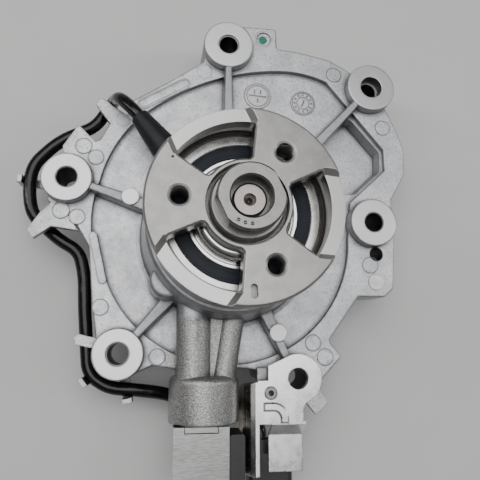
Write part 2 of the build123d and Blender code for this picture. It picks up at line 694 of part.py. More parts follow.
with BuildPart() as carrier:
    with BuildSketch(Plane.XY.offset(carrier_under)):
        Circle(carrier_r)
    extrude(amount=rim_seat - carrier_under)
    # Three rim segments let into the top, with leaning walls up to the lobes.
    with BuildSketch(Plane.XY.offset(rim_seat)):
        Circle(carrier_r)
    extrude(amount=carrier_step)
    for angle in lobe_angles:
        middle = angle + 60
        half_corners = [(24.0, 20.0), (window_outer_r, rim_seat_inner_half), (carrier_r, rim_seat_outer_half),
                        (carrier_r + 8, rim_seat_outer_half - 5)]
        one_side = [polar(r, middle - half) for r, half in half_corners]
        other_side = [polar(r, middle + half) for r, half in reversed(half_corners)]
        with BuildSketch(Plane.XY.offset(rim_seat)):
            with BuildLine():
                Polyline(*one_side, *other_side, close=True)
            make_face()
        extrude(amount=carrier_step + 0.5, taper=-step_slope, mode=Mode.SUBTRACT)
    outer_edges = carrier.edges().filter_by(GeomType.CIRCLE).filter_by(
        lambda e: abs(e.radius - carrier_r) < 0.01 and abs(e.center().Z - lobe_top) < 0.01)
    chamfer(outer_edges, lobe_edge_break)
    # Windows, with a broken upper edge.
    for start, grow, depth, lean in ((lobe_top, window_edge_break, window_edge_break, 44), (lobe_top, 0, carrier_thickness, 0)):
        with BuildSketch(Plane.XY.offset(start)) as windows:
            for angle in lobe_angles:
                low, high = angle + 60 - window_span / 2, angle + 60 + window_span / 2
                with BuildLine():
                    CenterArc((0, 0), window_outer_r, low, window_span)
                    CenterArc((0, 0), window_inner_r, low, window_span)
                    Line(polar(window_inner_r, low), polar(window_outer_r, low))
                    Line(polar(window_inner_r, high), polar(window_outer_r, high))
                make_face()
            fillet(windows.vertices(), 1.8)
            if grow:
                offset(amount=grow)
        extrude(amount=-depth, taper=lean, mode=Mode.SUBTRACT)
    # Mouth, web bore and the backs of the threaded holes.
    with BuildSketch(Plane.XY.offset(carrier_under + carrier_web)):
        Circle(carrier_mouth_r)
    extrude(amount=carrier_thickness, mode=Mode.SUBTRACT)
    with BuildSketch(Plane.XY.offset(carrier_under)):
        Circle(spigot_r)
    extrude(amount=carrier_thickness, mode=Mode.SUBTRACT)
    with BuildSketch(Plane.XY.offset(carrier_under - thread_boss_drop)):
        for angle in lobe_angles:
            with Locations(polar(pulley_bolt_circle / 2, angle)):
                Circle(thread_boss_r)
    extrude(amount=thread_boss_drop)
    for angle in lobe_angles:
        x, y = polar(pulley_bolt_circle / 2, angle)
        with Locations((x, y, lobe_top)):
            Cone(thread_core_r, thread_core_r + thread_mouth[0], thread_mouth[1],
                 align=(Align.CENTER, Align.CENTER, Align.MAX), mode=Mode.SUBTRACT)
        with BuildSketch(Plane.XY.offset(carrier_under - thread_boss_drop)):
            with Locations((x, y)):
                Circle(thread_core_r)
        extrude(amount=carrier_thickness + thread_boss_drop, mode=Mode.SUBTRACT)
    # Small balance slot near the edge of one lobe.
    slot_r, slot_angle, slot_overall, slot_across = balance_slot
    with BuildSketch(Plane.XY.offset(lobe_top - 2.5)):
        with Locations(Location((*polar(slot_r, slot_angle), 0), (0, 0, slot_angle))):
            SlotOverall(slot_overall, slot_across)
    extrude(amount=4, mode=Mode.SUBTRACT)
save(carrier.part, "pulley_carrier")

with BuildPart() as collar:
    with BuildSketch(Plane.XZ):
        with BuildLine():
            Polyline((shaft_r, main_top + 2.0), (spigot_r, main_top + 2.0), (spigot_r, carrier_under + carrier_web),
                     (collar_foot_r, carrier_under + carrier_web), (collar_foot_r, collar_foot_top - 0.8),
                     (collar_foot_r - 0.8, collar_foot_top), (collar_r, collar_foot_top),
                     (collar_r, collar_top - 0.7), (collar_r - 0.7, collar_top), (collar_mouth_r + 0.5, collar_top),
                     (collar_mouth_r, collar_top - 0.5), (collar_mouth_r, collar_mouth_floor), (shaft_r, collar_mouth_floor),
                     close=True)
        make_face()
    revolve(axis=Axis.Z)
    with BuildSketch(Plane.XY.offset(collar_foot_top)):
        with Locations(Location((0, 0, 0), (0, 0, collar_flats_angle))):
            Rectangle(60, 60)
            Rectangle(collar_flats, 60, mode=Mode.SUBTRACT)
    extrude(amount=collar_top, mode=Mode.SUBTRACT)
    for angle in dimple_angles:
        x, y = polar((collar_r + collar_mouth_r) / 2, angle)
        with Locations((x, y, collar_top + 0.25)):
            Sphere(dimple_r, mode=Mode.SUBTRACT)
save(collar.part, "drive_collar")

# --- Impeller ------------------------------------------------------------------------------------------
with BuildPart() as impeller:
    with BuildSketch(Plane.XY.offset(impeller_plate_top - impeller_plate)):
        Circle(impeller_r)
    extrude(amount=impeller_plate)
    with BuildSketch(Plane.XZ):
        with BuildLine():
            Polyline((0, impeller_foot), (impeller_hub_r - 2.5, impeller_foot),
                     (impeller_hub_r, impeller_plate_top - impeller_plate),
                     (impeller_hub_r, impeller_hub_top), (0, impeller_hub_top), close=True)
        make_face()
    revolve(axis=Axis.Z)
    vane_tip_r = impeller_r - 0.8
    with BuildSketch(Plane.XY.offset(impeller_foot + 1)):
        for number in range(blade_count):
            turn = 360 * number / blade_count
            stations = [(9.5, turn), (vane_tip_r * 0.66, turn - 13), (vane_tip_r, turn - 34)]
            sides = [
                [polar(r, angle + side * degrees(blade_thickness / 2 / r)) for r, angle in stations] for side in (-1, 1)
            ]
            with BuildLine():
                ThreePointArc(*sides[0])
                ThreePointArc(*sides[1])
                Line(sides[0][0], sides[1][0])
                Line(sides[0][2], sides[1][2])
            make_face()
    extrude(amount=impeller_plate_top - impeller_foot - 2)
    with BuildSketch(Plane.XY.offset(impeller_foot - 1)):
        Circle(shaft_r)
    extrude(amount=impeller_hub_top - impeller_foot + 2, mode=Mode.SUBTRACT)
save(impeller.part, "impeller")

# --- Flow shroud ---------------------------------------------------------------------------------------
shroud_top = shroud_foot + shroud_length
seat_top = guide_tube_foot + spring_seat_height
guide_r = guide_tube_r + slide_clearance
disc_under = shroud_top - 1.5
guide_foot = seat_top + shroud_travel + 0.6
with BuildPart() as shroud:
    with BuildSketch(Plane.XZ):
        with BuildLine():
            Polyline((shroud_r, shroud_foot), (shroud_r, shroud_top), (guide_r, shroud_top), (guide_r, guide_foot),
                     (guide_r + 1.8, guide_foot), (guide_r + 1.8, disc_under), (shroud_r - shroud_wall, disc_under),
                     (shroud_r - shroud_wall, shroud_foot), close=True)
        make_face()
    revolve(axis=Axis.Z)
save(shroud.part, "control_shroud")
piston_seal_r = shroud_r + free_clearance - slide_clearance
save(ring(piston_seal_r, guide_r, shroud_top, shroud_top + piston_seal_height), "piston_seal")
save(ring(spring_seat_r, guide_tube_r, guide_tube_foot, seat_top), "spring_seat")

spring_low, spring_high = seat_top + spring_wire_r + 0.02, disc_under - spring_wire_r - 0.02
with BuildPart() as spring:
    with BuildLine():
        Helix((spring_high - spring_low) / spring_turns, spring_high - spring_low, spring_coil_r, center=(0, 0, spring_low))
    with BuildSketch(Plane(origin=(spring_coil_r, 0, spring_low), z_dir=(0, 1, 0))):
        Circle(spring_wire_r)
    sweep(is_frenet=True)
save(spring.part, "return_spring")

# --- Solenoid valve ------------------------------------------------------------------------------------
end_plate_y = valve_end_y - 0.4
coil_front_y = end_plate_y - yoke_plate
coil_back_y = end_plate_y - yoke_length + yoke_plate
yoke_x = valve_x - 1.5
yoke_top = valve_z + yoke_rise


def along_y(y):
    """A plane square to the valve's axis, looking away from the pump."""
    return Plane(origin=(valve_x, y, valve_z), x_dir=(1, 0, 0), z_dir=(0, -1, 0))


with BuildPart() as valve_insert:
    with BuildSketch(along_y(valve_end_y + 17.5)):
        Circle(valve_bore_r - 0.02)
        Circle(plunger_r + slide_clearance, mode=Mode.SUBTRACT)
    extrude(amount=17.5)
    with BuildSketch(along_y(valve_end_y + 12)):
        Circle(valve_bore_r + 1)
        Circle(valve_bore_r - 1.6, mode=Mode.SUBTRACT)
    extrude(amount=2.4, mode=Mode.SUBTRACT)
save(valve_insert.part, "valve_insert")

with BuildPart() as valve_ring:
    with BuildSketch(along_y(valve_end_y + 11.9)):
        Circle(valve_bore_r - 0.01)
        Circle(valve_bore_r - 1.58, mode=Mode.SUBTRACT)
    extrude(amount=2.2)
save(valve_ring.part, "valve_o_ring")

with BuildPart() as plunger:
    with BuildSketch(along_y(valve_end_y + 15)):
        Circle(plunger_r)
    extrude(amount=15 + yoke_length / 2)
    chamfer(plunger.edges().filter_by(GeomType.CIRCLE), 0.5)
    with BuildSketch(along_y(valve_end_y - yoke_length / 2)):
        Circle(2.6)
    extrude(amount=-8, mode=Mode.SUBTRACT)
save(plunger.part, "valve_plunger")

core_face_y = valve_end_y - yoke_length / 2 - plunger_travel - 0.4
with BuildPart() as core:
    with BuildSketch(along_y(core_face_y)):
        Circle(plunger_r)
    extrude(amount=core_face_y - (end_plate_y - yoke_length) + 1.6)
save(core.part, "solenoid_core")

with BuildPart() as coil:
    with BuildSketch(along_y(coil_front_y)):
        Circle(yoke_rise - yoke_plate - 0.3)
        Circle(plunger_r + slide_clearance, mode=Mode.SUBTRACT)
    extrude(amount=coil_front_y - coil_back_y)
    # Terminal housing on its right-hand side.
    with BuildSketch(Plane.XY.offset(valve_z - 6)):
        with Locations((yoke_x + yoke_width / 2 + 3.5, (coil_front_y + coil_back_y) / 2 + 2)):
            RectangleRounded(6.4, coil_front_y - coil_back_y - 6, 1.2)
    extrude(amount=yoke_rise + 4.6)
    with BuildSketch(Plane.XY.offset(valve_z - 4)):
        with Locations((yoke_x + yoke_width / 2 - 2.5, (coil_front_y + coil_back_y) / 2)):
            Rectangle(8, coil_front_y - coil_back_y - 6)
    extrude(amount=8)
    with BuildSketch(along_y(coil_front_y + 1)):
        Circle(plunger_r + slide_clearance)
    extrude(amount=40, mode=Mode.SUBTRACT)
save(coil.part, "solenoid_coil")

slot_y = end_plate_y - yoke_plate / 2
with BuildPart() as yoke:
    with BuildSketch(Plane.XY.offset(yoke_top - yoke_plate)):
        with Locations((yoke_x, end_plate_y - yoke_length / 2)):
            RectangleRounded(yoke_width, yoke_length, 0.8)
    extrude(amount=yoke_plate)
    with BuildSketch(Plane.XY.offset(valve_z - yoke_rise)):
        with Locations((yoke_x, end_plate_y - yoke_length + yoke_plate / 2)):
            Rectangle(yoke_width, yoke_plate)
    extrude(amount=2 * yoke_rise - yoke_plate)
    with BuildSketch(Plane.XY.offset(yoke_top - yoke_plate)):
        with Locations((yoke_x, slot_y)):
            Rectangle(slot_length, slot_width + 0.5)
    extrude(amount=yoke_plate, mode=Mode.SUBTRACT)
    with BuildSketch(along_y(end_plate_y - yoke_length + yoke_plate + 1)):
        Circle(plunger_r)
    extrude(amount=yoke_plate + 2, mode=Mode.SUBTRACT)
save(yoke.part, "solenoid_yoke")

with BuildPart() as end_plate:
    with BuildSketch(Plane.XY.offset(valve_z - yoke_rise)):
        with Locations((yoke_x, slot_y)):
            Rectangle(yoke_width, slot_width)
    extrude(amount=2 * yoke_rise - yoke_plate)
    with BuildSketch(Plane.XY.offset(valve_z)):
        with Locations((yoke_x, slot_y)):
            Rectangle(slot_length - 0.4, slot_width)
    extrude(amount=yoke_rise - 0.6)
    with BuildSketch(along_y(end_plate_y + 1)):
        Circle(plunger_r + slide_clearance)
    extrude(amount=slot_width + 4, mode=Mode.SUBTRACT)
save(end_plate.part, "solenoid_end_plate")

# --- Position sensor and its boot ------------------------------------------------------------------------
radial = (cos(radians(boot_angle)), sin(radians(boot_angle)), 0)


def along_boot(distance):
    return Plane(origin=(*polar(distance, boot_angle), boot_z), z_dir=radial)


with BuildPart() as sensor:
    with BuildSketch(along_boot(tower_head_r - 0.6)):
        Circle(sensor_r - 0.02)
    extrude(amount=boot_inner - tower_head_r + 0.6)
save(sensor.part, "position_sensor")

with BuildPart() as boot:
    with BuildSketch(along_boot(boot_inner)):
        Circle(boot_inner_r)
    with BuildSketch(along_boot(boot_outer)):
        Circle(boot_outer_r)
    loft(ruled=True)
    fillet(boot.edges().filter_by(GeomType.CIRCLE).sort_by(SortBy.RADIUS)[0], 0.8)
    with BuildSketch(along_boot(boot_outer - 6)):
        Circle(lead_d / 2)
    extrude(amount=8, mode=Mode.SUBTRACT)
save(boot.part, "lead_boot")

# --- Lead: from the boot over the edge, under the hooks, round the lower left boss to its connector --------
lead_end_x = flange_x + 3.4
connector_back = boss_y - connector_start
connector_front = connector_back - connector_size[1]


def beside(number, dx, dy, z):
    """A place for the lead, given from a boss so that it stays clear of it."""
    x, y = at(*bosses[number][:2])
    return (x + dx, y + dy, z)


lead_points = [
    (*polar(boot_outer - 6, boot_angle), boot_z),
    (*polar(boot_outer + 4, boot_angle), boot_z),
    (*at(-51.2, 62.0), 25.5),
    (*at(-55.2, 66.5), 12.5),
    (*at(-59.2, 62.8), 7.3),
    (*at(-64.6, 54.8), 6.5),
    (*at(-80.7, 47.0), 6.5),
    beside(3, -18.8, 9.7, 6.5),
    beside(3, -19.7, -2.6, 6.5),
    beside(3, -17.4, -14.6, 6.5),
    (*at(-77.5, -2.0), 6.5),
    (*at(-68.6, -7.0), 6.5),
    (*at(-65.6, -18.0), 6.2),
    (*at(-64.6, -34.0), 6.2),
    beside(4, -15.9, 9.6, 6.0),
    beside(4, -14.0, -8.9, 5.8),
    beside(4, -5.0, -15.2, 5.8),
    beside(4, 8.5, -16.4, 5.2),
    (valve_x - 16.5, valve_start_y - 9.2, 1.5),
    (valve_x - 3.5, valve_start_y - 14.1, -1.5),
    (valve_x + 14.5, valve_start_y - 16.9, -0.9),
    (lead_end_x, boss_y - 18.9, lead_end_z),
    (lead_end_x, connector_back - 2.8, lead_end_z),
]
bend_share = 0.45  # of the shorter run on either side that a bend may take
vectors = [Vector(*p) for p in lead_points]
radii = []
for before, here, after in zip(vectors, vectors[1:], vectors[2:]):
    bend = (here - before).get_angle(after - here)
    run = min((here - before).length, (after - here).length)
    radii.append(bend_share * run / tan(radians(bend / 2)))
with BuildPart() as lead:
    with BuildLine() as route:
        FilletPolyline(*lead_points, radius=radii)
    with BuildSketch(Plane(origin=vectors[0], z_dir=(vectors[1] - vectors[0]).normalized())):
        Circle(lead_d / 2)
    sweep()
print("lead length", round(sum(edge.length for edge in route.edges())), "tightest bend", round(min(radii), 1))
save(lead.part, "sensor_lead")

# --- Bracket on the lower right boss ----------------------------------------------------------------------
plate_low = boss_top
plate_high = boss_top + bracket_plate
neck_x = flange_x + bracket_neck
notch_x, notch_y = flange_x + 4.6, boss_y - 0.7
bend_y = boss_y - bracket_bend
step_y = boss_y - bracket_step
tail_y = boss_y - bracket_tail
shelf_low_x, shelf_high_x = flange_x + 6.0, flange_x + 21.2
rivet_place = (flange_x + 5.6, boss_y - 5.9)
rivet_r = 2.0
with BuildPart() as bracket:
    # Lobed upper plate.
    with BuildSketch(Plane.XY.offset(plate_low)):
        with Locations((boss_x, boss_y)):
            Circle(bracket_lobe_r)
        with BuildLine():
            Polyline((boss_x - 3, boss_y + bracket_lobe_r - 0.45), (notch_x, boss_y + 5.5), (notch_x, notch_y),
                     (flange_x, notch_y), (flange_x, bend_y), (neck_x, bend_y), (neck_x, boss_y - 12.5),
                     (neck_x + 2.0, boss_y - 9.2), (boss_x + 9.5, boss_y - 4.7), (boss_x, boss_y), close=True)
        make_face()
    extrude(amount=bracket_plate)
    # Joggle down to the connector's shelf.
    with BuildSketch(Plane.YZ.offset(shelf_low_x)):
        with BuildLine():
            Polyline((bend_y + 1, plate_high), (bend_y - 0.2, plate_high), (step_y, plate_high - bracket_drop),
                     (tail_y, plate_high - bracket_drop), (tail_y, plate_low - bracket_drop),
                     (step_y - 0.6, plate_low - bracket_drop), (bend_y - 0.9, plate_low),
                     (bend_y + 1, plate_low), close=True)
        make_face()
    extrude(amount=shelf_high_x - shelf_low_x)
    # Side flange, folded down steeply, with a rounded upper corner.
    with BuildSketch(Plane.XZ.offset(-notch_y + 0.7)):
        with BuildLine():
            Polyline((flange_x + 0.6, plate_high), (flange_x - 1.0, plate_high), (flange_x - 3.0, plate_high - 1.6),
                     (flange_x - 7.0, plate_low - 14.0), (flange_x - 5.0, plate_low - 14.4),
                     (flange_x - 1.2, plate_low - 1.0), (flange_x + 0.6, plate_low), close=True)
        make_face()
    extrude(amount=notch_y - 0.7 - tail_y)
    with BuildSketch(Plane.XY):
        with BuildLine():
            corner = (flange_x - 8, notch_y + 1)
            arc_end, arc_start = (flange_x - 0.5, notch_y - 0.6), (flange_x - 7.2, notch_y - 8.0)
            Polyline(arc_start, (flange_x - 8, notch_y - 8.0), corner, (flange_x - 0.5, notch_y + 1), arc_end)
            ThreePointArc(arc_end, (flange_x - 4.6, notch_y - 2.6), arc_start)
        make_face()
    extrude(amount=plate_high + 1, mode=Mode.SUBTRACT)
    # Stiffening bead, raised along an elbow.
    with BuildSketch(Plane.XY.offset(plate_high)):
        with BuildLine(mode=Mode.PRIVATE) as elbow:
            bead_y, bead_x = boss_y - 11.6, flange_x + 11.6
            FilletPolyline((flange_x + 2.2, bead_y), (bead_x, bead_y), (bead_x, bend_y + 0.4), radius=5.0)
        trace(elbow.line, line_width=bead_width)
    extrude(amount=bead_height, taper=35)
    # Holes: bolt, rivet.
    with BuildSketch(Plane.XY.offset(plate_low - 1)):
        with Locations((boss_x, boss_y)):
            Circle(bolt_hole_r + 0.1)
        with Locations(rivet_place):
            Circle(rivet_r)
    extrude(amount=bracket_plate + 3, mode=Mode.SUBTRACT)
save(bracket.part, "bracket")

rivet_plane = Plane(origin=(*rivet_place, 0), x_dir=(1, 0, 0), z_dir=(0, -1, 0))
with BuildPart() as rivet:
    with BuildSketch(rivet_plane):
        with BuildLine():
            Polyline((1.2, plate_low - 0.2), (rivet_r - 0.05, plate_low - 0.2), (rivet_r - 0.05, plate_high + 0.05),
                     (2.9, plate_high + 0.05), (2.9, plate_high + 0.5), (2.4, plate_high + 0.9),
                     (1.2, plate_high + 0.9), close=True)
        make_face()
    revolve(axis=Axis((*rivet_place, 0), (0, 0, 1)))
save(rivet.part, "bracket_rivet")

# --- Connector under the bracket's shelf -----------------------------------------------------------------
connector_x = flange_x + 7.4
connector_z = plate_low - bracket_drop - 0.2 - connector_size[2] / 2
socket_depth = 9.0


def behind_connector(y):
    """A plane across the connector, looking away from the pump."""
    return Plane(origin=(0, y, 0), x_dir=(1, 0, 0), z_dir=(0, -1, 0))


with BuildPart() as connector:
    with BuildSketch(behind_connector(connector_back)):
        with Locations((connector_x, connector_z)):
            RectangleRounded(connector_size[0], connector_size[2], connector_radius)
    extrude(amount=connector_size[1])
    # Socket for the harness plug.
    with BuildSketch(behind_connector(connector_front + socket_depth)):
        with Locations((connector_x, connector_z)):
            RectangleRounded(connector_size[0] - 2 * connector_wall, connector_size[2] - 2 * connector_wall, 1.2)
    extrude(amount=socket_depth, mode=Mode.SUBTRACT)
    # Mouth and collar for the lead.
    with BuildSketch(behind_connector(connector_back)):
        with Locations((lead_end_x, lead_end_z)):
            Circle(lead_d / 2 + 0.05)
    extrude(amount=3, mode=Mode.SUBTRACT)
    with BuildSketch(behind_connector(connector_back)):
        with Locations((lead_end_x, lead_end_z)):
            Circle(lead_d / 2 + 1.3)
            Circle(lead_d / 2 + 0.4, mode=Mode.SUBTRACT)
    extrude(amount=-6)
save(connector.part, "lead_connector")

with BuildPart() as terminals:
    with BuildSketch(behind_connector(connector_front + socket_depth)):
        with Locations((connector_x - 3.2, connector_z), (connector_x + 3.2, connector_z)):
            Rectangle(2.8, 0.8)
    extrude(amount=6.5)
save(terminals.part, "connector_terminals")
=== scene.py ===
import math

import bmesh
import bpy
from mathutils import Matrix, Vector


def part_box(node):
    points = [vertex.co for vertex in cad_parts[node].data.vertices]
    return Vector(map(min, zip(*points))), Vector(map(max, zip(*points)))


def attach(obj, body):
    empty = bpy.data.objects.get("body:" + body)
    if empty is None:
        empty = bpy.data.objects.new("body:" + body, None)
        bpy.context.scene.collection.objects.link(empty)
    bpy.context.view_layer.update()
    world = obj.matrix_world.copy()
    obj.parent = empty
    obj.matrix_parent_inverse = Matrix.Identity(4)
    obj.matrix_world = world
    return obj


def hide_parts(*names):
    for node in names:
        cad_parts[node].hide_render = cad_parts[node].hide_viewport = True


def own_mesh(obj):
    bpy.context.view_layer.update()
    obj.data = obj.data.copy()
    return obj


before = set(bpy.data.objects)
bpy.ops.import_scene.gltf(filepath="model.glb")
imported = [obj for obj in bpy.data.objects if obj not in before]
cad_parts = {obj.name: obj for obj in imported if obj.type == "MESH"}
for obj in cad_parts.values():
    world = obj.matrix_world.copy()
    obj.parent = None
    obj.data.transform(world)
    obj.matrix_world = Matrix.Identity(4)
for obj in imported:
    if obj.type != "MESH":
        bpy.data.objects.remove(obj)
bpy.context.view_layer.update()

MM = 0.001


# --- Camera --------------------------------------------------------------------------------------
# Above the pulley end, a little to the left and in front, upright along +Y.
CAMERA_AT = Vector((-26.9, -46.6, 249.2)) * MM
LOOK_AT = Vector((5.0, -2.5, 22.0)) * MM
UPRIGHT = Vector((0, 1, 0))

camera = bpy.data.objects.new("camera", bpy.data.cameras.new("camera"))
bpy.context.scene.collection.objects.link(camera)
forward = (LOOK_AT - CAMERA_AT).normalized()
right = forward.cross(UPRIGHT).normalized()
upward = right.cross(forward)
turn = Matrix((right, upward, -forward)).transposed()
camera.matrix_world = Matrix.Translation(CAMERA_AT) @ turn.to_4x4()
camera.data.sensor_width = 36.0
camera.data.lens = 38.25
camera.data.clip_start = 0.01
bpy.context.scene.camera = camera


# --- Finishes --------------------------------------------------------------------------------------
class Finish:
    """A node material. Places and sizes are millimetres of the part, so detail stays with the piece."""

    def __init__(self, name, metallic=0.0, roughness=0.5, **fixed):
        self.material = bpy.data.materials.new(name)
        self.material.use_nodes = True
        self.tree = self.material.node_tree
        self.tree.nodes.clear()
        self.surface = self.tree.nodes.new("ShaderNodeBsdfPrincipled")
        output = self.tree.nodes.new("ShaderNodeOutputMaterial")
        self.tree.links.new(self.surface.outputs[0], output.inputs[0])
        self.put("Metallic", metallic)
        self.put("Roughness", roughness)
        for key, value in fixed.items():
            self.put(key.replace("_", " "), value)
        coordinates = self.tree.nodes.new("ShaderNodeTexCoord")
        self.facing = coordinates.outputs["Normal"]
        self.place = self.node("ShaderNodeVectorMath", coordinates.outputs["Object"], operation="SCALE")
        self.place.node.inputs["Scale"].default_value = 1 / MM
        split = self.node("ShaderNodeSeparateXYZ", self.place).node
        self.x, self.y, self.z = split.outputs
        self.up = self.node("ShaderNodeSeparateXYZ", self.facing).node.outputs[2]

    def put(self, key, value):
        self.join(self.surface.inputs[key], value)

    def join(self, socket, value):
        """A node's output is linked to the socket. A number or a colour becomes its fixed value."""
        if isinstance(value, bpy.types.NodeSocket):
            self.tree.links.new(value, socket)
        elif isinstance(value, tuple) and len(value) == 3:
            socket.default_value = (*value, 1)
        else:
            socket.default_value = value

    def node(self, kind, *values, **settings):
        made = self.tree.nodes.new(kind)
        for key, value in settings.items():
            setattr(made, key, value)
        for socket, value in zip(made.inputs, values):
            if isinstance(value, bpy.types.NodeSocket):
                self.tree.links.new(value, socket)
            elif value is not None:
                socket.default_value = value
        return made.outputs[0]

    def math(self, operation, *values):
        return self.node("ShaderNodeMath", *values, operation=operation)

    def noise(self, size, detail=3.0, rough=0.55, where=None):
        """Even noise, 0 to 1, whose lumps are about size millimetres across."""
        made = self.node("ShaderNodeTexNoise", where or self.place).node
        made.inputs["Scale"].default_value = 1 / size
        made.inputs["Detail"].default_value = detail
        made.inputs["Roughness"].default_value = rough
        return made.outputs[0]

    def step(self, value, low, high):
        """0 on low's side, 1 on high's side, whichever of them is larger."""
        return self.node("ShaderNodeMapRange", value, low, high, 0.0, 1.0, interpolation_type="SMOOTHSTEP")

    def inside(self, value, low, high, soft=0.1):
        """1 between low and high, 0 outside them."""
        return self.math("MULTIPLY", self.step(value, low, low + soft), self.step(value, high, high - soft))

    def both(self, *masks):
        out = masks[0]
        for mask in masks[1:]:
            out = self.math("MULTIPLY", out, mask)
        return out

    def either(self, *masks):
        out = masks[0]
        for mask in masks[1:]:
            out = self.math("MAXIMUM", out, mask)
        return out

    def blend(self, share, a, b):
        made = self.tree.nodes.new("ShaderNodeMix")
        made.data_type = "RGBA"
        self.join(made.inputs[0], share)
        self.join(made.inputs[6], a)
        self.join(made.inputs[7], b)
        return made.outputs[2]

    def between(self, share, a, b):
        made = self.tree.nodes.new("ShaderNodeMix")
        made.data_type = "FLOAT"
        self.join(made.inputs[0], share)
        self.join(made.inputs[2], a)
        self.join(made.inputs[3], b)
        return made.outputs[0]

    def radius_from(self, x=0.0, y=0.0):
        """Distance in plan from an upright line."""
        away_x, away_y = self.math("SUBTRACT", self.x, x), self.math("SUBTRACT", self.y, y)
        flat = self.node("ShaderNodeCombineXYZ", away_x, away_y, 0.0)
        return self.node("ShaderNodeVectorMath", flat, operation="LENGTH").node.outputs["Value"]

    def rings(self, radius, size, detail=2.0):
        """Fine turning marks: noise that changes only with the radius."""
        return self.noise(size, detail, where=self.node("ShaderNodeCombineXYZ", radius, 0.0, 0.0))

    def hollow(self, reach):
        """1 in the open, less in corners and narrow places. The finishes darken their colour with it as
        painted shade.
        """
        made = self.tree.nodes.new("ShaderNodeAmbientOcclusion")
        made.samples = 6
        made.inputs["Distance"].default_value = reach * MM
        return made.outputs["AO"]

    def rounded(self, radius):
        """The surface direction with its edges rounded off."""
        made = self.tree.nodes.new("ShaderNodeBevel")
        made.samples = 6
        made.inputs["Radius"].default_value = radius * MM
        return made.outputs[0]

    def edges(self, rounded):
        """1 along edges, 0 on open faces. The finishes lighten their colour with it as a painted highlight.
        """
        plain = self.tree.nodes.new("ShaderNodeNewGeometry").outputs["Normal"]
        compared = self.node("ShaderNodeVectorMath", rounded, plain, operation="DOT_PRODUCT").node
        return self.step(compared.outputs["Value"], 0.995, 0.90)

    def bump(self, height, depth, under=None):
        """Height from 0 to 1 becomes relief of depth millimetres."""
        made = self.tree.nodes.new("ShaderNodeBump")
        made.inputs["Strength"].default_value = 1.0
        made.inputs["Distance"].default_value = depth * MM
        self.tree.links.new(height, made.inputs["Height"])
        if under is not None:
            self.tree.links.new(under, made.inputs["Normal"])
        return made.outputs[0]

    def swirl(self, amount):
        """Turned faces: the highlight spreads round the pump axis."""
        made = self.tree.nodes.new("ShaderNodeTangent")
        made.direction_type = "RADIAL"
        made.axis = "Z"
        self.tree.links.new(made.outputs[0], self.surface.inputs["Tangent"])
        self.put("Anisotropic", amount)


BOLT_BOSSES = [(-0.5, 95.8), (72.0, 78.0), (70.0, 8.0), (-73.4, 24.4), (-47.7, -53.4), (30.6, -64.1)]


